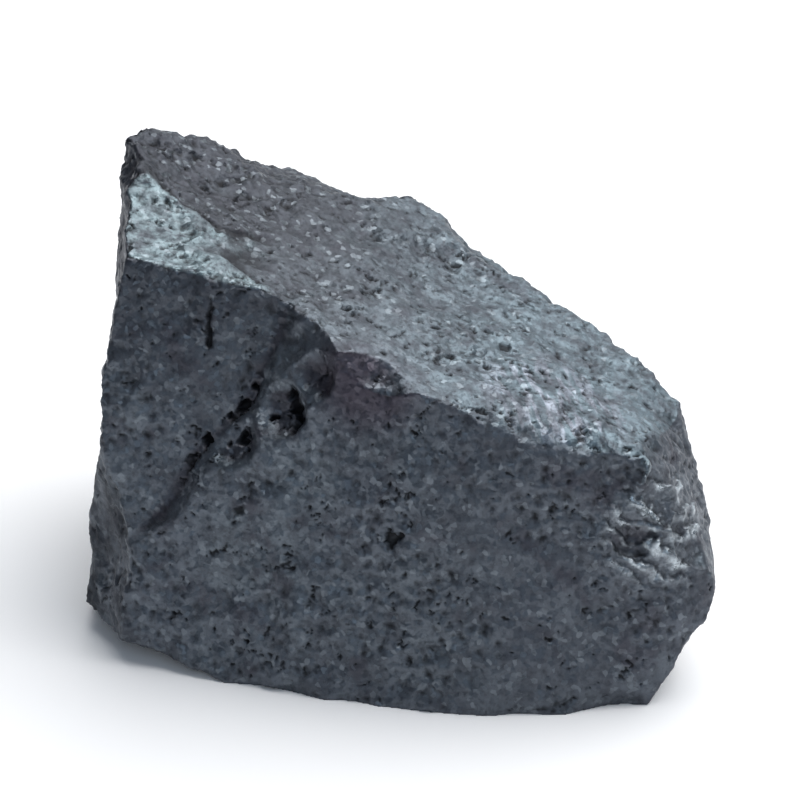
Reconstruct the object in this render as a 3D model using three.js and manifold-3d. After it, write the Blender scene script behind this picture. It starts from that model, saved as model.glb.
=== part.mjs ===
// Raw hematite: one broken lump of massive iron ore, about 38 mm across, lying on a flat break.
//
// The lump is one solid. It is described by how it broke:
//   breaks   the fracture faces that bound it, each nearly flat and uneven in its own way;
//   ledges   slabs that split away afterwards, each bounded by two more breaks;
//   chips    shallow round scoops, where the faces and the rims were knocked.
// Together they make one signed field, negative inside the stone. The field is then turned into
// a closed mesh that keeps its sharp edges, and the foot is cut off flat where the lump lies.
//
// Millimetres, +Z up. The origin is the middle of the box round the stone, at its foot.

import * as THREE from "three";
import { ImprovedNoise } from "three/addons/math/ImprovedNoise.js";
import { mergeVertices } from "three/addons/utils/BufferGeometryUtils.js";
import Module from "manifold-3d";

// ---------------------------------------------------------------- driving dimensions

const MESH_CELL = 0.95; // grid step of the mesh
const CORE = new THREE.Vector3(0, 0, 12); // inner point that every reach is measured from
const FIELD_BOX = new THREE.Box3(
  new THREE.Vector3(-22.1, -17.3, -3.1),
  new THREE.Vector3(21.9, 19.7, 29.3),
);
const EDGE_WEAR = 0.2; // how wide a sharp edge is worn

// A break faces `turn` degrees from +X towards +Y and `lift` degrees above the horizon, and lies
// `reach` from the core. `wave` and `grit` are the heights of its broad and its small unevenness,
// and `soft` is how wide it blends into its neighbours, where the edge isn't sharp.
const BREAKS = [
  { name: "top", turn: -10.5, lift: 73, reach: 8.0, wave: 0.5, grit: 0.26 },
  { name: "bright bevel", turn: -72, lift: 73.8, reach: 10.32, wave: 0.16, grit: 0.08 },
  { name: "top left rise", turn: 168, lift: 60, reach: 21.3, wave: 0.3, grit: 0.2 },
  { name: "front", turn: -106.5, lift: 13, reach: 9.2, wave: 0.5, grit: 0.14 },
  { name: "front right", turn: -82, lift: 12, reach: 11.7, wave: 0.5, grit: 0.14, soft: 2.4 },
  { name: "front corner", turn: -52, lift: 6, reach: 18.1, wave: 0.5, grit: 0.2, soft: 1.2 },
  { name: "left edge", turn: -150, lift: 2, reach: 17.6, wave: 0.5, grit: 0.24 },
  { name: "left", turn: 178, lift: 5, reach: 17.9, wave: 0.6, grit: 0.26 },
  { name: "left undercut", turn: -150, lift: -62, reach: 17.5, wave: 0.8, grit: 0.3 },
  { name: "left foot", turn: 165, lift: -36, reach: 21.2, wave: 0.9, grit: 0.3 },
  { name: "right", turn: 5, lift: 8.5, reach: 16.8, wave: 0.6, grit: 0.24 },
  { name: "right shoulder", turn: -12, lift: 24.5, reach: 16.2, wave: 0.3, grit: 0.16 },
  { name: "right undercut", turn: -10, lift: -32, reach: 20.5, wave: 0.8, grit: 0.28 },
  { name: "back right", turn: 48, lift: 6, reach: 11.2, wave: 0.9, grit: 0.3 },
  { name: "back right top", turn: 30, lift: 22, reach: 13.6, wave: 0.6, grit: 0.26 },
  { name: "back right foot", turn: 62, lift: -24, reach: 15.3, wave: 0.8, grit: 0.3 },
  { name: "back", turn: 75, lift: 12, reach: 14.1, wave: 0.8, grit: 0.26 },
  { name: "back left", turn: 98, lift: 7, reach: 16.5, wave: 1, grit: 0.3 },
  { name: "back undercut", turn: 100, lift: -30, reach: 17.0, wave: 0.9, grit: 0.3 },
  { name: "left back corner", turn: 137, lift: 5, reach: 20.8, wave: 0.7, grit: 0.26 },
  { name: "foot", turn: 60, lift: -89, reach: 12.6, wave: 1.2, grit: 0.3 },
];

// A ledge is what split away: the space beyond every one of its breaks at once.
const LEDGES = [
  [
    { name: "upper front", turn: -98, lift: 18, reach: 6.57, wave: 0.3, grit: 0.12 },
    { name: "upper front step", turn: -140, lift: 34, reach: 10.89, wave: 0.7, grit: 0.3 },
  ],
  [
    { name: "back terrace", turn: 88, lift: 10, reach: 13.7, wave: 0.6, grit: 0.24 },
    { name: "back terrace step", turn: 30, lift: 52, reach: 9.3, wave: 1.1, grit: 0.5 },
  ],
  [
    { name: "back right terrace", turn: 52, lift: 2, reach: 9.9, wave: 0.5, grit: 0.24 },
    { name: "back right terrace step", turn: 20, lift: -50, reach: 8.2, wave: 1.1, grit: 0.5 },
  ],
  [
    { name: "left terrace", turn: 166, lift: 2, reach: 17.8, wave: 0.4, grit: 0.24 },
    { name: "left terrace step", turn: 112, lift: -35, reach: 8, wave: 1.1, grit: 0.5 },
  ],
  [
    { name: "right terrace", turn: 2, lift: 4, reach: 15.6, wave: 0.5, grit: 0.2 },
    { name: "right terrace step", turn: 60, lift: -30, reach: 6.2, wave: 0.9, grit: 0.4 },
  ],
];

// A chip is a ragged round scoop of that width and depth. It is struck where a line through the
// point `near`, coming in from outside, meets the stone.
const CHIPS = [
  { name: "rim notch", near: [-1.4, -7.8, 20.4], turn: -100, lift: 40, width: 5, depth: 0.9 },
  { name: "gouge top", near: [-5.4, -6.5, 19.2], turn: -115, lift: 20, width: 3.4, depth: 1 },
  { name: "gouge middle", near: [-7.6, -6.8, 17], turn: -118, lift: 20, width: 3.8, depth: 1.2 },
  { name: "gouge foot", near: [-10.2, -6.6, 14.6], turn: -118, lift: 18, width: 3.4, depth: 0.8 },
  { name: "right chip 1", near: [12.3, -10, 14], turn: -72, lift: 28, width: 4.2, depth: 0.5 },
  { name: "right chip 2", near: [15.2, -9.4, 12.6], turn: -50, lift: 22, width: 4.4, depth: 0.6 },
  { name: "right chip 3", near: [16.6, -9.2, 9.8], turn: -44, lift: 6, width: 4.2, depth: 0.5 },
  { name: "right chip 4", near: [13.6, -10.6, 11], turn: -66, lift: 12, width: 3.2, depth: 0.4 },
  { name: "bevel flake", near: [-12.8, 2.2, 24.2], turn: -72, lift: 74, width: 9, depth: 0.5 },
  { name: "back rim flake", near: [-6, 13.4, 22.8], turn: 98, lift: 40, width: 9, depth: 0.5 },
  { name: "top hollow", near: [-12, 8, 24.6], turn: -60, lift: 80, width: 6, depth: 0.4 },
  { name: "top dish", near: [2, 4, 20.4], turn: 0, lift: 80, width: 8, depth: 0.4 },
  { name: "back right shell", near: [10, 8, 10], turn: 52, lift: 0, width: 12, depth: 0.9 },
  { name: "back left shell", near: [-11, 15, 14], turn: 104, lift: 0, width: 10, depth: 0.9 },
  { name: "left shell", near: [-18.4, 3, 15], turn: 176, lift: 0, width: 9, depth: 0.8 },
  { name: "right shell", near: [18, 1, 8], turn: 12, lift: 0, width: 7, depth: 0.7 },
  { name: "back foot shell", near: [-4, 15, 4], turn: 95, lift: -20, width: 9, depth: 1.2 },
];

// Small nicks struck along a rim at random, from one point of it to another.
const NICKED_RIMS = [
  { name: "front foot", from: [-9, -10.6, 0.3], to: [14, -13.2, 0.3], turn: -95, lift: -20, count: 4 },
  { name: "left rim", from: [-18.2, -5, 4], to: [-17.6, -2, 20], turn: -165, lift: 5, count: 5 },
  { name: "back left rim", from: [-14, 13, 25], to: [-1, 12.6, 21.4], turn: 90, lift: 40, count: 4 },
  { name: "back right rim", from: [1, 12, 20.8], to: [14, 2, 16.2], turn: 48, lift: 45, count: 5 },
  { name: "left top rim", from: [-17.3, 4.5, 25.3], to: [-17.2, 9.5, 25.8], turn: 178, lift: 40, count: 2 },
  { name: "right rim", from: [15, -8, 15.2], to: [15.6, -1, 15.8], turn: -8, lift: 50, count: 3 },
  { name: "back corner", from: [1, 13.6, 4], to: [0.4, 12.6, 19], turn: 72, lift: 0, count: 4 },
];
const NICK_WIDTH = [2.4, 4.8];
const NICK_DEPTH = [0.2, 0.4];
const RAGGED = 0.16; // height of the small unevenness in a chip

// ---------------------------------------------------------------- unevenness

const WAVE_LENGTH = 8;
const GRIT_LENGTH = 2.9;
const CHIP_LENGTH = 2.4;
const perlin = new ImprovedNoise();

function noiseAt(point, length, seed) {
  const drift = seed * 17.31;
  return perlin.noise(point.x / length + drift, point.y / length - drift, point.z / length + 0.5 * drift);
}

function unevenness(point, face) {
  return (
    face.wave * noiseAt(point, WAVE_LENGTH, face.seed) +
    face.grit * noiseAt(point, GRIT_LENGTH, face.seed + 0.37)
  );
}

// ---------------------------------------------------------------- the field

function direction(turn, lift) {
  const turned = THREE.MathUtils.degToRad(turn);
  const lifted = THREE.MathUtils.degToRad(lift);
  return new THREE.Vector3(
    Math.cos(lifted) * Math.cos(turned),
    Math.cos(lifted) * Math.sin(turned),
    Math.sin(lifted),
  );
}

function preparedBreak(face, index) {
  return { ...face, normal: direction(face.turn, face.lift), seed: index + 1 };
}

const breaks = BREAKS.map(preparedBreak);
const ledges = LEDGES.map((ledge, index) =>
  ledge.map((face, side) => preparedBreak(face, BREAKS.length + 3 * index + side)),
);
const chips = [];

const fromCore = new THREE.Vector3();

function heightOver(face, point) {
  return fromCore.copy(point).sub(CORE).dot(face.normal) - face.reach - unevenness(point, face);
}

// The greater of two heights, eased where they differ by less than `soft`.
function softMax(a, b, soft) {
  const overlap = Math.max(soft - Math.abs(a - b), 0);
  return Math.max(a, b) + overlap ** 2 / (4 * soft);
}

function stoneField(point) {
  let field = -Infinity;
  for (const face of breaks) field = softMax(field, heightOver(face, point), face.soft ?? EDGE_WEAR);
  for (const ledge of ledges) {
    let beyond = Infinity;
    for (const face of ledge) beyond = Math.min(beyond, heightOver(face, point));
    field = Math.max(field, beyond);
  }
  for (const { centre, radius, seed } of chips) {
    const depth = radius - point.distanceTo(centre);
    if (depth > field - RAGGED) {
      field = Math.max(field, depth + RAGGED * noiseAt(point, CHIP_LENGTH, seed));
    }
  }
  return field;
}

const AXES = [new THREE.Vector3(1, 0, 0), new THREE.Vector3(0, 1, 0), new THREE.Vector3(0, 0, 1)];
const PROBE = 0.02;

// The direction in which the field rises fastest, measured over a span of `probe` either way.
function fieldSlope(point, probe = PROBE) {
  const slope = AXES.map(
    (axis) =>
      stoneField(point.clone().addScaledVector(axis, probe)) -
      stoneField(point.clone().addScaledVector(axis, -probe)),
  );
  return new THREE.Vector3(...slope).normalize();
}

// Chips are struck one by one, on the stone as it is by then, square to the slope that a patch
// as wide as the chip has there. On a rim that is the direction between its two sides.
const STRIKE_FROM = 4;
const STRIKE_STEP = 0.02;

function strike({ near, turn, lift, width, depth }) {
  const inwards = direction(turn, lift).negate();
  const point = new THREE.Vector3(...near).addScaledVector(inwards, -STRIKE_FROM);
  while (stoneField(point) > 0) point.addScaledVector(inwards, STRIKE_STEP);
  const radius = (width ** 2 / 4 + depth ** 2) / (2 * depth);
  const centre = fieldSlope(point, width / 2).multiplyScalar(radius - depth).add(point);
  chips.push({ centre, radius, seed: 60 + chips.length });
}

THREE.MathUtils.seededRandom(28);
const between = (low, high) => THREE.MathUtils.lerp(low, high, THREE.MathUtils.seededRandom());

function nickRim({ from, to, turn, lift, count }) {
  for (let nick = 0; nick < count; nick++) {
    strike({
      near: new THREE.Vector3(...from).lerp(new THREE.Vector3(...to), between(0, 1)).toArray(),
      turn,
      lift,
      width: between(...NICK_WIDTH),
      depth: between(...NICK_DEPTH),
    });
  }
}

CHIPS.forEach(strike);
NICKED_RIMS.forEach(nickRim);

// ---------------------------------------------------------------- field to mesh
// Dual contouring: one vertex in each grid cell that the surface crosses, placed where the planes
// met on the cell's edges agree, and one quad round each grid edge that the surface crosses.

const CROSSING_STEPS = 12;
const ANCHOR = 0.04; // pull towards the mean crossing, which settles flat cells

function crossingBetween(inside, outside) {
  const low = inside.clone();
  const high = outside.clone();
  const middle = new THREE.Vector3();
  for (let step = 0; step < CROSSING_STEPS; step++) {
    middle.addVectors(low, high).multiplyScalar(0.5);
    (stoneField(middle) < 0 ? low : high).copy(middle);
  }
  return middle.clone();
}

function agreedPoint(crossings, cellBox) {
  const mean = new THREE.Vector3();
  for (const { point } of crossings) mean.addScaledVector(point, 1 / crossings.length);
  const m = [ANCHOR, 0, 0, ANCHOR, 0, ANCHOR];
  const pull = new THREE.Vector3();
  for (const { point, normal: n } of crossings) {
    m[0] += n.x * n.x;
    m[1] += n.x * n.y;
    m[2] += n.x * n.z;
    m[3] += n.y * n.y;
    m[4] += n.y * n.z;
    m[5] += n.z * n.z;
    pull.addScaledVector(n, point.clone().sub(mean).dot(n));
  }
  const solve = new THREE.Matrix3().set(m[0], m[1], m[2], m[1], m[3], m[4], m[2], m[4], m[5]).invert();
  return cellBox.clampPoint(mean.add(pull.applyMatrix3(solve)), new THREE.Vector3());
}

function meshOfField(box, cell) {
  const size = box.getSize(new THREE.Vector3()).divideScalar(cell).ceil();
  const [nx, ny, nz] = size.toArray().map((n) => n + 1);
  const indexOf = (i, j, k) => i + nx * (j + ny * k);
  const cornerAt = (i, j, k) => new THREE.Vector3(i, j, k).multiplyScalar(cell).add(box.min);
  const values = new Float64Array(nx * ny * nz);
  for (let k = 0; k < nz; k++)
    for (let j = 0; j < ny; j++)
      for (let i = 0; i < nx; i++) values[indexOf(i, j, k)] = stoneField(cornerAt(i, j, k));

  // Every crossed grid edge, filed under the four cells round it.
  const strides = [1, nx, nx * ny];
  const cells = new Map();
  const quads = [];
  for (let k = 1; k < nz - 1; k++)
    for (let j = 1; j < ny - 1; j++)
      for (let i = 1; i < nx - 1; i++)
        for (let axis = 0; axis < 3; axis++) {
          const here = indexOf(i, j, k);
          const startsInside = values[here] < 0;
          if (startsInside === values[here + strides[axis]] < 0) continue;
          const ends = [cornerAt(i, j, k), cornerAt(i, j, k).addScaledVector(AXES[axis], cell)];
          const point = crossingBetween(...(startsInside ? ends : ends.reverse()));
          const crossing = { point, normal: fieldSlope(point) };
          const [u, v] = [strides[(axis + 1) % 3], strides[(axis + 2) % 3]];
          const round = [here, here - u, here - u - v, here - v];
          for (const key of round) {
            if (!cells.has(key)) cells.set(key, []);
            cells.get(key).push(crossing);
          }
          quads.push(startsInside ? round : round.reverse());
        }

  const vertexOf = new Map();
  const positions = [];
  for (const [key, crossings] of cells) {
    const [i, j, k] = [key % nx, Math.floor(key / nx) % ny, Math.floor(key / (nx * ny))];
    const cellBox = new THREE.Box3(cornerAt(i, j, k), cornerAt(i + 1, j + 1, k + 1));
    vertexOf.set(key, positions.length);
    positions.push(agreedPoint(crossings, cellBox));
  }

  // Each quad is split along the diagonal that keeps closer to the surface, so rims stay sharp.
  const middleError = (a, b) =>
    Math.abs(stoneField(positions[a].clone().add(positions[b]).multiplyScalar(0.5)));
  const triangles = quads.flatMap((quad) => {
    const [a, b, c, d] = quad.map((key) => vertexOf.get(key));
    return middleError(a, c) < middleError(b, d) ? [a, b, c, a, c, d] : [a, b, d, b, c, d];
  });
  const geometry = new THREE.BufferGeometry().setFromPoints(positions);
  geometry.setIndex(triangles);
  return geometry;
}

// ---------------------------------------------------------------- cutting the foot

const wasm = await Module();
wasm.setup();

function solidOf(geometry) {
  const bare = geometry.clone();
  bare.deleteAttribute("normal");
  bare.deleteAttribute("uv");
  const merged = mergeVertices(bare, 1e-5);
  return new wasm.Manifold(
    new wasm.Mesh({
      numProp: 3,
      vertProperties: merged.attributes.position.array,
      triVerts: new Uint32Array(merged.index.array),
    }),
  );
}

function geometryOf(solid) {
  const mesh = solid.getMesh();
  const geometry = new THREE.BufferGeometry();
  geometry.setAttribute("position", new THREE.BufferAttribute(mesh.vertProperties, mesh.numProp));
  geometry.setIndex(new THREE.BufferAttribute(mesh.triVerts, 1));
  return geometry;
}

function ground() {
  const size = 100;
  return new THREE.BoxGeometry(size, size, size).translate(0, 0, -size / 2);
}

// ---------------------------------------------------------------- the stone

function hematiteStone() {
  const rough = meshOfField(FIELD_BOX, MESH_CELL);
  const geometry = geometryOf(solidOf(rough).subtract(solidOf(ground())));
  geometry.computeBoundingBox();
  const middle = geometry.boundingBox.getCenter(new THREE.Vector3());
  geometry.translate(-middle.x, -middle.y, 0);
  geometry.computeVertexNormals();
  const steelGrey = new THREE.MeshStandardMaterial({
    color: 0x4a525b,
    roughness: 0.5,
    metalness: 0.6,
    flatShading: true,
  });
  const stone = new THREE.Mesh(geometry, steelGrey);
  stone.name = "hematite_stone";
  return stone;
}

const group = new THREE.Group();
group.add(hematiteStone());

export default group;
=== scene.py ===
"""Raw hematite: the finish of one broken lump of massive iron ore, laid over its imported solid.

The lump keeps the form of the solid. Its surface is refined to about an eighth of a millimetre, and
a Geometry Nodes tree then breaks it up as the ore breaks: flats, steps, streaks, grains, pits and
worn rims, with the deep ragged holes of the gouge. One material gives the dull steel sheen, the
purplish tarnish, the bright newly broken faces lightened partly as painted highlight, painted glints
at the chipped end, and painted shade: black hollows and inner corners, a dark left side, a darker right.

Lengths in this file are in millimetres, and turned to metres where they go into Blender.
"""

import math

import bmesh
import bpy
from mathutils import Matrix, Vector


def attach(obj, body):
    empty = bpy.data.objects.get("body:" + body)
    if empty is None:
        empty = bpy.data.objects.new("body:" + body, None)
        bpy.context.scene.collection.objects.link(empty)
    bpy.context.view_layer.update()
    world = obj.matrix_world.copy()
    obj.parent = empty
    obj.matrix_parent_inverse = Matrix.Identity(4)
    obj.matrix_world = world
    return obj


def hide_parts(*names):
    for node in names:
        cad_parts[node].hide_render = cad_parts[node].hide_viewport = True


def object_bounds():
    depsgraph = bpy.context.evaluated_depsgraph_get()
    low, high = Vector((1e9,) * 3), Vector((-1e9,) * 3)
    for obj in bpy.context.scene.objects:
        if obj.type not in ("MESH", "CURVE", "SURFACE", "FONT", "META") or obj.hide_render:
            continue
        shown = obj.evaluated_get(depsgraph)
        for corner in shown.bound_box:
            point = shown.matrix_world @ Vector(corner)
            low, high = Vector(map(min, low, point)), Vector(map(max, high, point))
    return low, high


MM = 0.001

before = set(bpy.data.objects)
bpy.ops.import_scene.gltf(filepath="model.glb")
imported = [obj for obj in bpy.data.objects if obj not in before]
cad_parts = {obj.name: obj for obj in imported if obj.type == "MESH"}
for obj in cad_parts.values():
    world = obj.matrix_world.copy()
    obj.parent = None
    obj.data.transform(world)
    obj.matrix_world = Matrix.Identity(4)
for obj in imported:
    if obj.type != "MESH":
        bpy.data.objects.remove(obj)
SOLID_LOW, SOLID_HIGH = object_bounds()
SOLID_SIZE = SOLID_HIGH - SOLID_LOW
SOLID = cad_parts["hematite_stone"]


def at(x, y, z):
    """A place in the stone's box in millimetres, from shares of its width, depth and height."""
    place = SOLID_LOW + Vector((x * SOLID_SIZE.x, y * SOLID_SIZE.y, z * SOLID_SIZE.z))
    return place / MM


# ---------------------------------------------------------------- mesh
SHARP_EDGE = 26          # degrees between two faces, from which an edge of the solid stays sharp
SKIN_CELL = 0.13         # size of the refined surface's faces before it is thinned
SKIN_TRIANGLES = 194000  # what is left after thinning
FOOT_HEIGHT = 0.3        # how far up from the ground the surface is left nearly as cut

# ---------------------------------------------------------------- relief
# Each entry is a named input of the relief's node tree.
RELIEF = {
    "Seed": 26.0,
    "Foot Height": FOOT_HEIGHT,
    "Swell Size": 3.4,
    "Swell Height": 0.06,
    "Hackle Size": 3.2,
    "Hackle Height": 0.16,
    "Flat Size": 1.9,
    "Flat Slope": 0.2,
    "Small Flat Size": 0.85,
    "Small Flat Slope": 0.28,
    "Grain Size": 0.42,
    "Grain Slope": 0.34,
    "Grit Size": 0.28,
    "Grit Height": 0.025,
    "Scale Length": 1.5,
    "Scale Height": 0.06,
    "Chipped Scale Length": 1.1,
    "Chipped Scale Height": 0.3,
    "Streak Width": 0.6,
    "Streak Height": 0.04,
    "Dash Size": 1.5,
    "Dash Depth": 0.16,
    "Pit Size": 1.6,
    "Pit Depth": 0.16,
    "Rim Wear": 0.2,
    "Lost Crystal Size": 0.5,
    "Lost Crystal Depth": 0.3,
    "Lost Crystal Spacing": 4.5,
    "Gouge Depth": 0.8,
    "Crack Depth": 0.4,
    "Groove Depth": 0.15,
    "Lip Height": 0.4,
}

# ---------------------------------------------------------------- places
# Most of the finish follows the solid itself: its rims, its inner corners and the way each part
# of it faces. These few places and limits are given in shares of the stone's box.
GOUGE_ACROSS = (0.15, 0.4)               # the part of the ledge that has lost its crystals
GOUGE_HEIGHTS = (0.4, 0.7)
BEVEL_LEAN = (0.08, 0.13)                # how far forwards the bevel leans, and the top doesn't
BEVEL_RIGHT_END = (0.26, 0.31)           # each pair: where the bevel begins to fade, or has faded
BEVEL_BACK_END = (0.65, 0.75)
BEVEL_LOW_END = (0.8, 0.85)
SOUND_RIM_ACROSS = (0.45, 0.6)           # the front rim's right part, which has few bites
SOUND_RIM_DEEP = (0.2, 0.4)
BRIGHT_TOP_ACROSS = (0.35, 0.8)          # the top brightens from left to right, and forwards
BRIGHT_TOP_DEEP = (0.2, 0.6)
LEFT_SHADE_HEIGHTS = (0.3, 0.9)               # the painted shade on the left side fades from its foot up
NOTCH = at(0.45, 0.2, 0.75)
CRACK = (at(0.2, 0.35, 0.9), at(0.2, 0.35, 0.75))
CHIPPED_END = at(0.9, 0.15, 0.4)
BRUSHED_TOP = at(0.75, 0.25, 0.7)
LEFT_CREST = at(0.2, 0.75, 0.95)
ACROSS_FRONT = Vector((1.0, 0.3, 1.0))   # measures on the front face, blind to how deep it lies


# ---------------------------------------------------------------- small tools for node trees
class Nodes:
    """Builds a node tree line by line: each call adds one node and hands back its output."""

    def __init__(self, tree):
        self.tree = tree

    def add(self, kind, inputs=None, output=0, **settings):
        node = self.tree.nodes.new(kind)
        for name, value in settings.items():
            setattr(node, name, value)
        for name, value in (inputs or {}).items():
            self.feed(node.inputs[name], value)
        return node.outputs[output]

    def feed(self, socket, value):
        if isinstance(value, bpy.types.NodeSocket):
            self.tree.links.new(value, socket)
        else:
            socket.default_value = value

    def math(self, operation, *values, clamp=False):
        inputs = dict(enumerate(values))
        return self.add("ShaderNodeMath", inputs, operation=operation, use_clamp=clamp)

    def plus(self, *values):
        total = values[0]
        for value in values[1:]:
            total = self.math("ADD", total, value)
        return total

    def times(self, *values):
        product = values[0]
        for value in values[1:]:
            product = self.math("MULTIPLY", product, value)
        return product

    def minus(self, first, second):
        return self.math("SUBTRACT", first, second)

    def vector(self, operation, *values, output=0):
        inputs = dict(enumerate(values))
        return self.add("ShaderNodeVectorMath", inputs, output, operation=operation)

    def scaled(self, vector, factor):
        return self.add("ShaderNodeVectorMath", {0: vector, "Scale": factor}, operation="SCALE")

    def length(self, vector):
        return self.vector("LENGTH", vector, output="Value")

    def dot(self, first, second):
        return self.vector("DOT_PRODUCT", first, second, output="Value")

    def ramp(self, value, low, high, to_low=0.0, to_high=1.0, smooth=True):
        """Maps value from low..high to to_low..to_high, and stops at both ends."""
        inputs = {"Value": value, 1: low, 2: high, 3: to_low, 4: to_high}
        kind = "SMOOTHSTEP" if smooth else "LINEAR"
        return self.add("ShaderNodeMapRange", inputs, interpolation_type=kind)

    def noise(self, place, size, detail=2.0, roughness=0.5, distortion=0.0, output=0, **settings):
        inputs = {
            "Vector": place,
            "Scale": self.math("DIVIDE", 1.0, size),
            "Detail": detail,
            "Roughness": roughness,
            "Distortion": distortion,
        }
        return self.add("ShaderNodeTexNoise", inputs, output, **settings)

    def cells(self, place, size, output=0, **settings):
        inputs = {"Vector": place, "Scale": self.math("DIVIDE", 1.0, size)}
        return self.add("ShaderNodeTexVoronoi", inputs, output, **settings)

    def turned(self, place, x, y, z):
        angles = tuple(math.radians(angle) for angle in (x, y, z))
        inputs = {"Vector": place, "Rotation": angles}
        return self.add("ShaderNodeVectorRotate", inputs, rotation_type="EULER_XYZ")

    def near(self, place, middle, inner, outer):
        """1 within inner of middle, and 0 beyond outer."""
        gap = self.vector("DISTANCE", place, tuple(middle), output="Value")
        return self.ramp(gap, inner, outer, 1.0, 0.0)

    def gap_to_line(self, place, start, end):
        """How far place is from the straight stretch from start to end."""
        along = end - start
        from_start = self.vector("SUBTRACT", place, tuple(start))
        share = self.dot(from_start, tuple(along / along.length_squared))
        share = self.math("MULTIPLY", share, 1.0, clamp=True)
        return self.length(self.vector("SUBTRACT", from_start, self.scaled(tuple(along), share)))


# ---------------------------------------------------------------- the lump's surface
def merged_copy(solid):
    """The solid's mesh with its loose triangles joined, and its sharp edges marked as creases."""
    mesh = bmesh.new()
    mesh.from_mesh(solid.data)
    bmesh.ops.remove_doubles(mesh, verts=mesh.verts, dist=0.001 * MM)
    crease = mesh.edges.layers.float.new("crease_edge")
    for edge in mesh.edges:
        if edge.is_manifold and edge.calc_face_angle() > math.radians(SHARP_EDGE):
            edge[crease] = 1.0
    copy = bpy.data.meshes.new("hematite_lump")
    mesh.to_mesh(copy)
    mesh.free()
    lump = bpy.data.objects.new("hematite_lump", copy)
    bpy.context.scene.collection.objects.link(lump)
    return lump


def centred(n, value):
    """Noise from 0 to 1, made to run from -1 to 1."""
    return n.times(n.minus(value, 0.5), 2.0)


def flats(n, place, size, slope, turn):
    """Crystal-like flats that meet in ridges and valleys, as one height that has no cliffs."""
    gap = n.cells(n.turned(place, *turn), size, distance="CHEBYCHEV")
    return n.times(n.minus(gap, 0.35), size, slope)


def scales(n, place, length, towards):
    """Overlapping scales, as a height from 0 to 1: each rises slowly and ends in a sharp lip."""
    along = n.dot(place, tuple(Vector(towards).normalized()))
    phase = n.math("FRACT", n.math("DIVIDE", along, length))
    return n.math("MINIMUM", phase, n.ramp(phase, 0.86, 1.0, 1.0, 0.0, smooth=False))


def dashes(n, place, size, share):
    """Short ragged dark marks, where cleavage has opened a little."""
    stretched = n.vector("MULTIPLY", n.turned(place, 10, 24, -14), (0.55, 1.0, 1.0))
    level = n.noise(stretched, size, 3.0, 0.55, 0.5)
    line = n.ramp(n.math("ABSOLUTE", n.minus(level, 0.5)), 0.006, 0.022, 1.0, 0.0)
    broken = n.noise(place, n.times(size, 0.6), 2.0, 0.5)
    return n.times(line, n.ramp(n.plus(broken, n.times(share, 0.16)), 0.6, 0.68))


def angular_pits(n, place, size, share, widest):
    """Boxy pits as crystals leave them, in that share of the cells of a pattern of that size."""
    stretched = n.vector("MULTIPLY", n.turned(place, 10, 24, -14), (0.6, 1.0, 1.0))
    gap = n.cells(stretched, size, distance="CHEBYCHEV")
    chance = n.cells(stretched, size, output="Color", distance="CHEBYCHEV")
    chance = n.add("ShaderNodeSeparateXYZ", {0: chance})
    reach = n.ramp(n.math("DIVIDE", chance, share), 0.0, 1.0, widest, 0.0, smooth=False)
    return n.ramp(n.minus(reach, gap), 0.0, 0.09)


def share_along(n, here, axis):
    """How far along the stone's box a point lies, from 0 to 1, on that axis."""
    direction = [0.0, 0.0, 0.0]
    direction[axis] = 1.0
    inwards = n.minus(n.dot(here, tuple(direction)), SOLID_LOW[axis] / MM)
    return n.math("DIVIDE", inwards, SOLID_SIZE[axis] / MM)


def lost_crystals(n, here, place, size, spacing, inner, on_top):
    """Angular holes where whole crystals are gone, 0 to 1 deep: the gouge's, then single pits.

    The gouge lies where the solid's ledge turns inwards, and the single pits lie at random.
    """
    wander = n.vector("SUBTRACT", n.noise(place, 0.8, 3.0, 0.6, output=1), (0.5, 0.5, 0.5))
    bent = n.vector("ADD", here, n.scaled(wander, 0.7))
    middle = n.cells(bent, size, output="Position")
    chance = n.add("ShaderNodeSeparateXYZ", {0: n.cells(bent, size, output="Color")})
    cluster = n.noise(n.vector("ADD", place, (20.0, 0.0, 0.0)), 2.2, 1.0)
    standing = n.dot(n.cells(bent, size, output="Color"), (0.0, 1.0, 0.0))
    standing = n.ramp(standing, 0.12, 0.22, 0.35, 1.0)

    across, above = share_along(n, here, 0), share_along(n, here, 2)
    left, right = GOUGE_ACROSS
    where = n.times(n.ramp(across, left, left + 0.05), n.ramp(across, right - 0.05, right, 1.0, 0.0))
    low, high = GOUGE_HEIGHTS
    where = n.times(where, n.ramp(above, low, low + 0.05), n.ramp(above, high - 0.05, high, 1.0, 0.0))
    ragged = n.plus(n.times(n.minus(chance, 0.5), 1.5), n.times(n.minus(cluster, 0.5), 4.5))
    gouge = n.times(n.ramp(n.plus(inner, ragged), 0.7, 0.85), n.ramp(inner, 0.02, 0.12), where)

    centre = n.cells(bent, spacing, output="Position")
    lone = n.vector("DISTANCE", middle, centre, output="Value")
    lucky = n.add("ShaderNodeSeparateXYZ", {0: n.cells(bent, spacing, output="Color")})
    lucky = n.ramp(n.plus(lucky, n.times(on_top, 0.25)), 0.84, 0.88)
    reach = n.plus(0.5, n.times(n.minus(chance, 0.5), 0.8))
    pits = n.times(n.ramp(n.minus(reach, lone), 0.0, 0.2), lucky)
    return n.times(gouge, standing), n.times(pits, standing)


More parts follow.
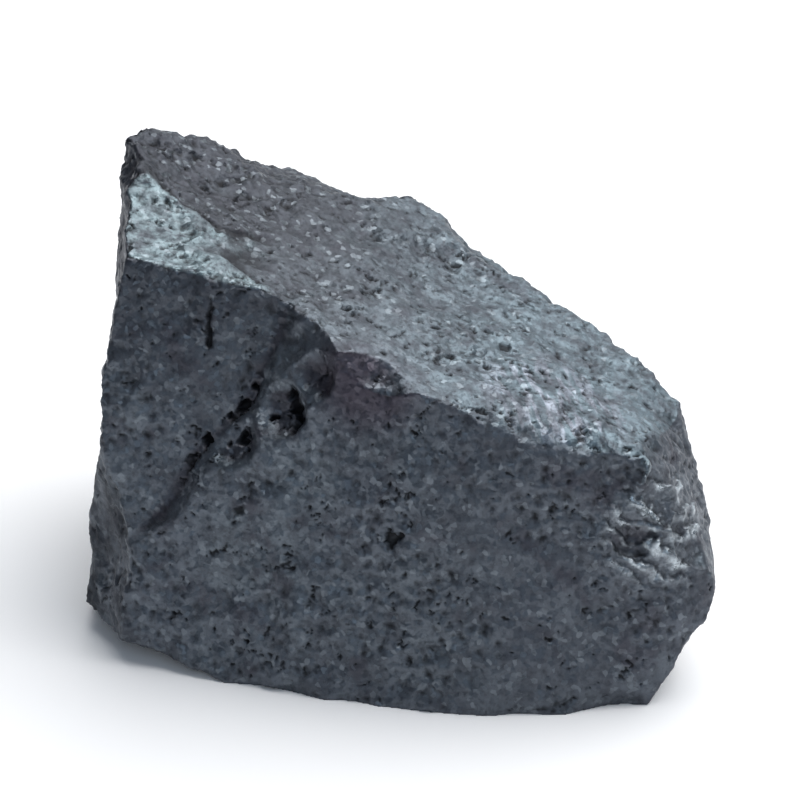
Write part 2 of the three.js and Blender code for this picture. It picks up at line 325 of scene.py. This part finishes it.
def relief_tree(material):
    """Geometry Nodes: moves each point of a closed surface along its normal, as the ore breaks."""
    tree = bpy.data.node_groups.new("broken ore", "GeometryNodeTree")
    tree.interface.new_socket("Geometry", in_out="INPUT", socket_type="NodeSocketGeometry")
    for name in RELIEF:
        tree.interface.new_socket(name, in_out="INPUT", socket_type="NodeSocketFloat")
    tree.interface.new_socket("Geometry", in_out="OUTPUT", socket_type="NodeSocketGeometry")

    n = Nodes(tree)
    given = tree.nodes.new("NodeGroupInput").outputs
    result = tree.nodes.new("NodeGroupOutput").inputs["Geometry"]

    here = n.scaled(n.add("GeometryNodeInputPosition"), 1 / MM)
    spread = n.add(
        "GeometryNodeBlurAttribute", {"Value": here, "Iterations": 40}, data_type="FLOAT_VECTOR"
    )
    normal = n.add("GeometryNodeInputNormal")
    place = n.vector("ADD", here, n.scaled((7.3, 3.1, 5.7), given["Seed"]))
    bent = n.vector("ADD", place, n.scaled(n.noise(place, 1.6, 3.0, 0.6, output=1), 0.6))
    upwards = n.dot(normal, (0.0, 0.0, 1.0))
    facing = n.add(
        "GeometryNodeBlurAttribute", {"Value": normal, "Iterations": 180}, data_type="FLOAT_VECTOR"
    )
    forwards = n.dot(facing, (0.0, -1.0, 0.0))
    across, deep, above = (share_along(n, here, axis) for axis in range(3))

    # Where on the stone: its top, its rims, the chipped end, the rougher and smoother parts.
    on_top = n.ramp(upwards, 0.55, 0.85)
    rim = n.ramp(n.dot(n.vector("SUBTRACT", here, spread), normal), 0.04, 0.3)
    inner = n.ramp(n.dot(n.vector("SUBTRACT", spread, here), normal), 0.008, 0.09)
    chipped = n.times(n.near(here, CHIPPED_END, 2.6, 5.0), n.ramp(upwards, 0.6, 0.4))
    uneven = n.times(centred(n, n.noise(place, 2.2, 4.0, 0.65)), 0.05)
    leaning = n.plus(forwards, uneven)
    bevel_side = n.times(
        n.ramp(across, *BEVEL_RIGHT_END, 1.0, 0.0),
        n.ramp(deep, *BEVEL_BACK_END, 1.0, 0.0),
        n.ramp(above, *BEVEL_LOW_END),
    )
    bevel = n.times(n.ramp(leaning, *BEVEL_LEAN), n.ramp(upwards, 0.6, 0.85), bevel_side)
    groove = n.times(n.ramp(leaning, 0.04, 0.07), n.ramp(leaning, 0.08, 0.11, 1.0, 0.0), on_top)
    groove = n.times(groove, bevel_side)
    wander = n.scaled(n.vector("SUBTRACT", n.noise(place, 0.9, 3.0, output=1), (0.5, 0.5, 0.5)), 0.9)
    on_front = n.vector("MULTIPLY", n.vector("ADD", here, wander), tuple(ACROSS_FRONT))
    lip = n.times(n.ramp(rim, 0.1, 0.5), n.near(here, CHIPPED_END, 3.0, 6.0))
    lip = n.times(lip, n.ramp(n.noise(place, 0.7, 2.0), 0.4, 0.52))
    coarse = n.ramp(n.noise(place, 5.0, 2.0), 0.4, 0.6, 0.5, 1.15)
    coarse = n.plus(coarse, n.times(n.near(here, LEFT_CREST, 3.0, 9.0), 0.5))

    # Raised parts.
    hackle = n.noise(
        bent, given["Hackle Size"], 4.0, 0.6, noise_type="RIDGED_MULTIFRACTAL", normalize=True
    )
    hackle = n.times(centred(n, hackle), given["Hackle Height"], coarse)
    swell = centred(n, n.noise(place, given["Swell Size"], 3.0, 0.55))
    swell = n.times(swell, given["Swell Height"])
    large = flats(n, bent, given["Flat Size"], given["Flat Slope"], (31, 17, 52))
    middling = flats(n, bent, given["Small Flat Size"], given["Small Flat Slope"], (64, 38, 11))
    grains = flats(n, bent, given["Grain Size"], given["Grain Slope"], (12, 71, 35))
    crystals = n.times(n.plus(large, middling, grains), coarse)
    grit = n.times(centred(n, n.noise(place, given["Grit Size"], 3.0, 0.6)), given["Grit Height"])
    long_ways = n.vector("MULTIPLY", n.turned(bent, 0, 8, 0), (1.0, 0.5, 0.2))
    streak = centred(n, n.noise(long_ways, given["Streak Width"], 2.0, 0.5))
    streak = n.times(streak, given["Streak Height"], n.ramp(upwards, 0.7, 0.4))
    wavy = n.vector("ADD", place, n.scaled(n.noise(place, 2.4, 3.0, 0.55, output=1), 3.0))
    scale_where = n.ramp(n.noise(place, 4.0, 1.0), 0.42, 0.62)
    scale = n.times(scales(n, wavy, given["Scale Length"], (0.5, 0.3, -0.8)), scale_where)
    creased = n.vector("ADD", wavy, n.scaled(n.noise(place, 0.7, 3.0, 0.6, output=1), 0.8))
    bold = scales(n, creased, given["Chipped Scale Length"], (0.45, 0.1, 0.85))
    bold = n.times(bold, chipped)
    # painted glints: the lips of the bold scales and the chip lips, which the material lightens
    painted_glint = n.math("MAXIMUM", n.ramp(bold, 0.42, 0.72, 0.1, 1.0), lip)
    scale = n.times(scale, given["Scale Height"])
    bold = n.times(bold, given["Chipped Scale Height"])
    lips = n.times(lip, given["Lip Height"])
    raised = n.plus(swell, hackle, crystals, grit, streak, scale, bold, lips)

    # Sunk parts: pits, most of them on the top, the gouge, the crack, and bites along the rims.
    cloud = n.ramp(n.noise(place, 4.2, 2.0), 0.4, 0.6, 0.2, 1.0)
    more = n.times(cloud, n.ramp(on_top, 0.0, 1.0, 0.25, 1.1))
    dash = dashes(n, bent, given["Dash Size"], more)
    pit = angular_pits(n, bent, given["Pit Size"], n.times(more, 0.4), 0.23)
    gouge, lost = lost_crystals(
        n,
        here,
        place,
        given["Lost Crystal Size"],
        given["Lost Crystal Spacing"],
        inner,
        on_top,
    )
    gap = n.gap_to_line(on_front, CRACK[0] * ACROSS_FRONT, CRACK[1] * ACROSS_FRONT)
    crack = n.ramp(gap, 0.08, 0.26, 1.0, 0.0)
    bite = n.times(rim, n.ramp(n.noise(place, 1.1, 3.0, 0.6, 0.4), 0.5, 0.62))
    sound_rim = n.times(
        n.ramp(across, *SOUND_RIM_ACROSS), n.ramp(deep, *SOUND_RIM_DEEP, 1.0, 0.0)
    )
    bite = n.times(bite, n.ramp(sound_rim, 0.0, 1.0, 1.0, 0.25))
    sunk = n.plus(
        n.times(dash, given["Dash Depth"]),
        n.times(pit, given["Pit Depth"]),
        n.times(gouge, given["Gouge Depth"]),
        n.times(lost, given["Lost Crystal Depth"]),
        n.times(crack, given["Crack Depth"]),
        n.times(groove, given["Groove Depth"]),
        n.times(bite, given["Rim Wear"]),
    )

    off_foot = n.ramp(n.dot(here, (0.0, 0.0, 1.0)), 0.02, given["Foot Height"])
    relief = n.times(n.minus(raised, sunk), off_foot)
    moved = n.vector("ADD", here, n.scaled(normal, relief))
    moved = n.vector("MAXIMUM", moved, (-1e3, -1e3, 0.0))

    # What the material reads: how deep a point lies among its neighbours, and where it is. The material
    # darkens the hollows as painted shade.
    around = n.add("GeometryNodeBlurAttribute", {"Value": relief, "Iterations": 12}, data_type="FLOAT")
    hollow = n.ramp(n.minus(around, relief), 0.0, 0.12)
    hollow = n.math("MAXIMUM", hollow, n.math("MAXIMUM", gouge, crack))
    hollow = n.math("MAXIMUM", hollow, n.math("MAXIMUM", n.times(dash, 0.85), n.times(pit, 0.85)))
    hollow = n.math("MAXIMUM", hollow, n.math("MAXIMUM", n.times(lost, 0.85), n.times(groove, 0.65)))
    hollow = n.times(hollow, n.ramp(chipped, 0.0, 1.0, 1.0, 0.45))
    # the bevel, which faces the lamps, and the chip lips: the material lightens them, partly as the tone
    # of newly broken faces and partly as painted highlight
    fresh_and_highlight = n.math("MAXIMUM", bevel, lip)
    band = n.times(
        n.ramp(across, *BRIGHT_TOP_ACROSS, 0.0, 0.7),
        n.ramp(deep, *BRIGHT_TOP_DEEP, 1.4, 1.0),
        on_top,
    )
    # painted shade: the lower, left-facing side, darkened in patches
    leftwards = n.ramp(n.dot(facing, (-0.92, -0.1, -0.38)), 0.35, 0.95)
    patchy = n.ramp(n.noise(place, 3.0, 4.0, 0.65), 0.38, 0.62, 0.15, 1.0)
    painted_left_shade = n.times(leftwards, patchy, n.ramp(above, *LEFT_SHADE_HEIGHTS, 1.0, 0.35))
    stored = given["Geometry"]
    surface = {
        "hollow": hollow,
        "rim": rim,
        "fresh_and_highlight": fresh_and_highlight,
        # the chipped end's scale lips, which the material lightens as painted glints
        "chipped": n.times(chipped, painted_glint),
        "on_top": on_top,
        "band": band,
        "painted_left_shade": painted_left_shade,
        "inner": inner,
    }
    for name, value in surface.items():
        stored = n.add(
            "GeometryNodeStoreNamedAttribute",
            {"Geometry": stored, "Name": name, "Value": value},
            data_type="FLOAT",
            domain="POINT",
        )
    shaped = n.add("GeometryNodeSetPosition", {"Geometry": stored, "Position": n.scaled(moved, MM)})
    real = n.add("GeometryNodeRealizeInstances", {"Geometry": shaped})
    finished = n.add("GeometryNodeSetMaterial", {"Geometry": real, "Material": material})
    tree.links.new(finished, result)
    return tree


def applied(lump):
    """The lump with its modifiers turned into plain mesh."""
    bpy.context.view_layer.update()
    evaluated = lump.evaluated_get(bpy.context.evaluated_depsgraph_get())
    mesh = bpy.data.meshes.new_from_object(evaluated)
    lump.modifiers.clear()
    lump.data = mesh
    return lump


def hematite_lump(material):
    """The lump's visible surface: the solid refined, broken up, and thinned where it is flat."""
    lump = merged_copy(SOLID)
    rounding = lump.modifiers.new("rounding", "SUBSURF")
    rounding.levels = rounding.render_levels = 2
    refining = lump.modifiers.new("refining", "REMESH")
    refining.mode = "VOXEL"
    refining.voxel_size = SKIN_CELL * MM
    applied(lump)

    breaking = lump.modifiers.new("breaking", "NODES")
    tree = relief_tree(material)
    breaking.node_group = tree
    for socket in tree.interface.items_tree:
        if socket.name in RELIEF:
            breaking[socket.identifier] = RELIEF[socket.name]
    thinning = lump.modifiers.new("thinning", "DECIMATE")
    fine_triangles = sum(len(face.vertices) - 2 for face in lump.data.polygons)
    thinning.ratio = min(1.0, SKIN_TRIANGLES / fine_triangles)
    applied(lump)
    lump.data.shade_smooth()
    print("lump triangles", fine_triangles, "thinned to", len(lump.data.polygons))
    return lump


# ---------------------------------------------------------------- material
def ore_material():
    """Massive hematite: dark blue-grey with a dull metal sheen, rougher in its hollows, with painted shade
    in its hollows, inner corners, left side and towards the right, and painted highlights on its bevel and
    chips.
    """
    material = bpy.data.materials.new("raw_hematite")
    material.use_nodes = True
    tree = material.node_tree
    shader = tree.nodes["Principled BSDF"]
    n = Nodes(tree)
    place = n.scaled(n.add("ShaderNodeTexCoord", output="Object"), 1 / MM)
    hollow = n.add("ShaderNodeAttribute", output="Fac", attribute_name="hollow")
    rim = n.add("ShaderNodeAttribute", output="Fac", attribute_name="rim")
    fresh_and_highlight = n.add("ShaderNodeAttribute", output="Fac", attribute_name="fresh_and_highlight")
    chipped = n.add("ShaderNodeAttribute", output="Fac", attribute_name="chipped")
    on_top = n.add("ShaderNodeAttribute", output="Fac", attribute_name="on_top")
    band = n.add("ShaderNodeAttribute", output="Fac", attribute_name="band")
    painted_left_shade = n.add("ShaderNodeAttribute", output="Fac", attribute_name="painted_left_shade")
    inner = n.add("ShaderNodeAttribute", output="Fac", attribute_name="inner")

    def blend(factor, first, second):
        node = tree.nodes.new("ShaderNodeMix")
        node.data_type = "RGBA"
        n.feed(node.inputs[0], factor)
        n.feed(node.inputs[6], first)
        n.feed(node.inputs[7], second)
        return node.outputs[2]

    bent = n.vector("ADD", place, n.scaled(n.noise(place, 0.35, 2.0, 0.6, output=1), 0.12))
    cloud = n.noise(place, 5.0, 4.0, 0.6)
    mottle = n.noise(place, 1.6, 5.0, 0.7)
    speck = n.noise(bent, 0.26, 2.0, 0.6)
    crystal = n.cells(bent, 0.3, output="Color")
    glint = n.add("ShaderNodeSeparateXYZ", {0: crystal})
    crest = n.near(place, LEFT_CREST, 4.0, 20.0)

    steel = blend(n.ramp(cloud, 0.35, 0.65), (0.102, 0.119, 0.144, 1), (0.128, 0.152, 0.178, 1))
    # painted shade: the colour darkens towards the right, where the stone's faces catch more of the lamps'
    # light
    painted_shade_right = n.ramp(n.dot(place, (1.0, 0.0, 0.0)), -8.0, 8.0)
    steel = blend(n.times(painted_shade_right, 0.7), steel, (0.076, 0.088, 0.108, 1))
    steel = blend(n.times(on_top, 0.5), steel, (0.098, 0.127, 0.145, 1))
    steel = blend(n.times(crest, 0.9), steel, (0.03, 0.034, 0.045, 1))
    steel = blend(n.times(band, 0.8), steel, (0.135, 0.188, 0.22, 1))
    across = n.noise(n.vector("MULTIPLY", n.turned(bent, 0, 0, -18), (1.0, 0.2, 0.2)), 0.5, 2.0)
    brushed = n.times(n.near(place, BRUSHED_TOP, 2.5, 6.0), n.ramp(across, 0.48, 0.58), on_top)
    steel = blend(brushed, steel, (0.24, 0.27, 0.32, 1))
    stripes = n.noise(n.vector("MULTIPLY", bent, (0.3, 1.0, 1.0)), 0.6, 3.0, 0.6)
    stripes = n.ramp(stripes, 0.3, 0.42, 0.15, 1.0)
    # painted highlight, partly the tone of newly broken faces: the bevel and the chip lips lightened in
    # stripes
    bare_and_highlight = n.times(fresh_and_highlight, stripes)
    steel = blend(n.times(bare_and_highlight, 0.9), steel, (0.195, 0.258, 0.283, 1))
    # painted glints: the lips of the chipped end's scales lightened to pale grey
    steel = blend(n.times(chipped, n.ramp(mottle, 0.4, 0.6, 1.0, 0.55)), steel, (0.5, 0.56, 0.6, 1))
    dark = n.times(n.ramp(mottle, 0.4, 0.66), n.ramp(on_top, 0.0, 1.0, 0.55, 0.75))
    steel = blend(dark, steel, (0.05, 0.054, 0.068, 1))
    dark = n.times(n.ramp(speck, 0.56, 0.66), n.ramp(on_top, 0.0, 1.0, 0.3, 0.55))
    steel = blend(dark, steel, (0.03, 0.032, 0.04, 1))
    light = n.times(n.ramp(glint, 0.86, 0.9), n.ramp(on_top, 0.0, 1.0, 0.2, 0.32))
    steel = blend(light, steel, (0.24, 0.28, 0.31, 1))
    tarnish = n.times(n.ramp(n.noise(place, 3.2, 3.0, 0.6), 0.55, 0.7), n.ramp(on_top, 0.0, 1.0, 0.3, 0.1))
    tarnish = n.plus(tarnish, n.times(inner, 0.5), n.times(rim, 0.2))
    tarnish = n.plus(tarnish, n.times(n.near(place, NOTCH, 1.5, 4.5), n.ramp(on_top, 0.0, 1.0, 0.8, 0.3)))
    tarnish = n.math("MINIMUM", tarnish, 0.9)
    steel = blend(tarnish, steel, (0.045, 0.035, 0.052, 1))
    # painted shade in the inner corners, darkened almost to black
    steel = blend(n.times(inner, 0.45), steel, (0.018, 0.02, 0.026, 1))
    # painted shade: the lower, left-facing side darkened almost to black
    steel = blend(n.times(painted_left_shade, 0.8), steel, (0.016, 0.018, 0.024, 1))
    # painted shade: pits, dashes, lost crystals, the gouge, the crack and the groove darkened almost to
    # black
    colour = blend(n.times(hollow, 0.92), steel, (0.009, 0.009, 0.011, 1))
    n.feed(shader.inputs["Base Color"], colour)

    rough = n.ramp(mottle, 0.3, 0.7, 0.4, 0.58)
    rough = n.minus(rough, n.ramp(glint, 0.86, 0.9, 0.0, 0.12))
    rough = n.minus(rough, n.times(chipped, 0.14))
    rough = n.plus(rough, n.times(n.math("MAXIMUM", hollow, painted_left_shade), 0.3))
    n.feed(shader.inputs["Roughness"], n.math("MINIMUM", rough, 0.9))
    shader.inputs["Metallic"].default_value = 0.85
    shader.inputs["IOR"].default_value = 2.2

    # Every crystal face leans a little its own way, under a fine grit.
    lean = n.scaled(n.vector("SUBTRACT", crystal, (0.5, 0.5, 0.5)), 0.42)
    leaning = n.vector("NORMALIZE", n.vector("ADD", n.add("ShaderNodeNewGeometry", output="Normal"), lean))
    fine = n.plus(n.noise(place, 0.15, 3.0, 0.6), n.times(mottle, 1.5))
    bump = n.add(
        "ShaderNodeBump",
        {"Height": fine, "Strength": 0.6, "Distance": 0.05 * MM, "Normal": leaning},
    )
    n.feed(shader.inputs["Normal"], bump)
    return material


# ---------------------------------------------------------------- floor, light and camera
CAMERA_LIFT = 30         # degrees above the horizon
CAMERA_LENS = 600
CAMERA_DISTANCE = 800
FLOOR_SIZE = 3000


def floor():
    half = FLOOR_SIZE / 2 * MM
    corners = [(-half, -half, 0), (half, -half, 0), (half, half, 0), (-half, half, 0)]
    mesh = bpy.data.meshes.new("floor")
    mesh.from_pydata(corners, [], [(0, 1, 2, 3)])
    plane = bpy.data.objects.new("floor", mesh)
    bpy.context.scene.collection.objects.link(plane)
    paper = bpy.data.materials.new("pale_floor")
    paper.use_nodes = True
    shader = paper.node_tree.nodes["Principled BSDF"]
    shader.inputs["Base Color"].default_value = (0.98, 0.98, 0.985, 1)
    shader.inputs["Roughness"].default_value = 0.9
    shader.inputs["Emission Color"].default_value = (1, 1, 1, 1)
    shader.inputs["Emission Strength"].default_value = 0.03
    mesh.materials.append(paper)


def softbox(name, place, aim, size, radiance, colour=(1, 1, 1)):
    """A flat light of that size. Its power follows from the radiance that a sheen shows."""
    light = bpy.data.lights.new(name, "AREA")
    light.shape = "RECTANGLE"
    light.size = size[0] * MM
    light.size_y = size[1] * MM
    light.energy = radiance * math.pi * light.size * light.size_y
    light.color = colour
    holder = bpy.data.objects.new(name, light)
    bpy.context.scene.collection.objects.link(holder)
    holder.location = Vector(place) * MM
    towards = Vector(aim) * MM - holder.location
    holder.rotation_mode = "QUATERNION"
    holder.rotation_quaternion = towards.to_track_quat("-Z", "Y")


def studio():
    middle = (0, 0, 10)
    softbox("overhead", (150, 130, 430), middle, (660, 520), 3.6, (1.0, 0.99, 0.98))
    softbox("backdrop", (200, 620, 200), middle, (1000, 420), 1.0, (0.93, 0.97, 1.0))
    softbox("front", (60, -500, 400), middle, (500, 300), 1.15, (0.7, 0.85, 1.0))
    world = bpy.data.worlds.new("studio")
    bpy.context.scene.world = world
    world.use_nodes = True
    backcloth = world.node_tree.nodes["Background"]
    backcloth.inputs["Color"].default_value = (0.68, 0.8, 1.0, 1)
    backcloth.inputs["Strength"].default_value = 0.14
    bpy.context.scene.view_settings.view_transform = "Standard"


def camera():
    lift = math.radians(CAMERA_LIFT)
    back = Vector((0, -math.cos(lift), math.sin(lift)))
    data = bpy.data.cameras.new("camera")
    data.lens = CAMERA_LENS
    data.clip_end = 10
    holder = bpy.data.objects.new("camera", data)
    bpy.context.scene.collection.objects.link(holder)
    middle = (SOLID_LOW + SOLID_HIGH) / 2
    holder.location = middle + back * CAMERA_DISTANCE * MM
    holder.rotation_mode = "QUATERNION"
    holder.rotation_quaternion = (-back).to_track_quat("-Z", "Y")
    bpy.context.scene.camera = holder


camera()
floor()
studio()
lump = hematite_lump(ore_material())
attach(lump, "root")
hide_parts("hematite_stone")
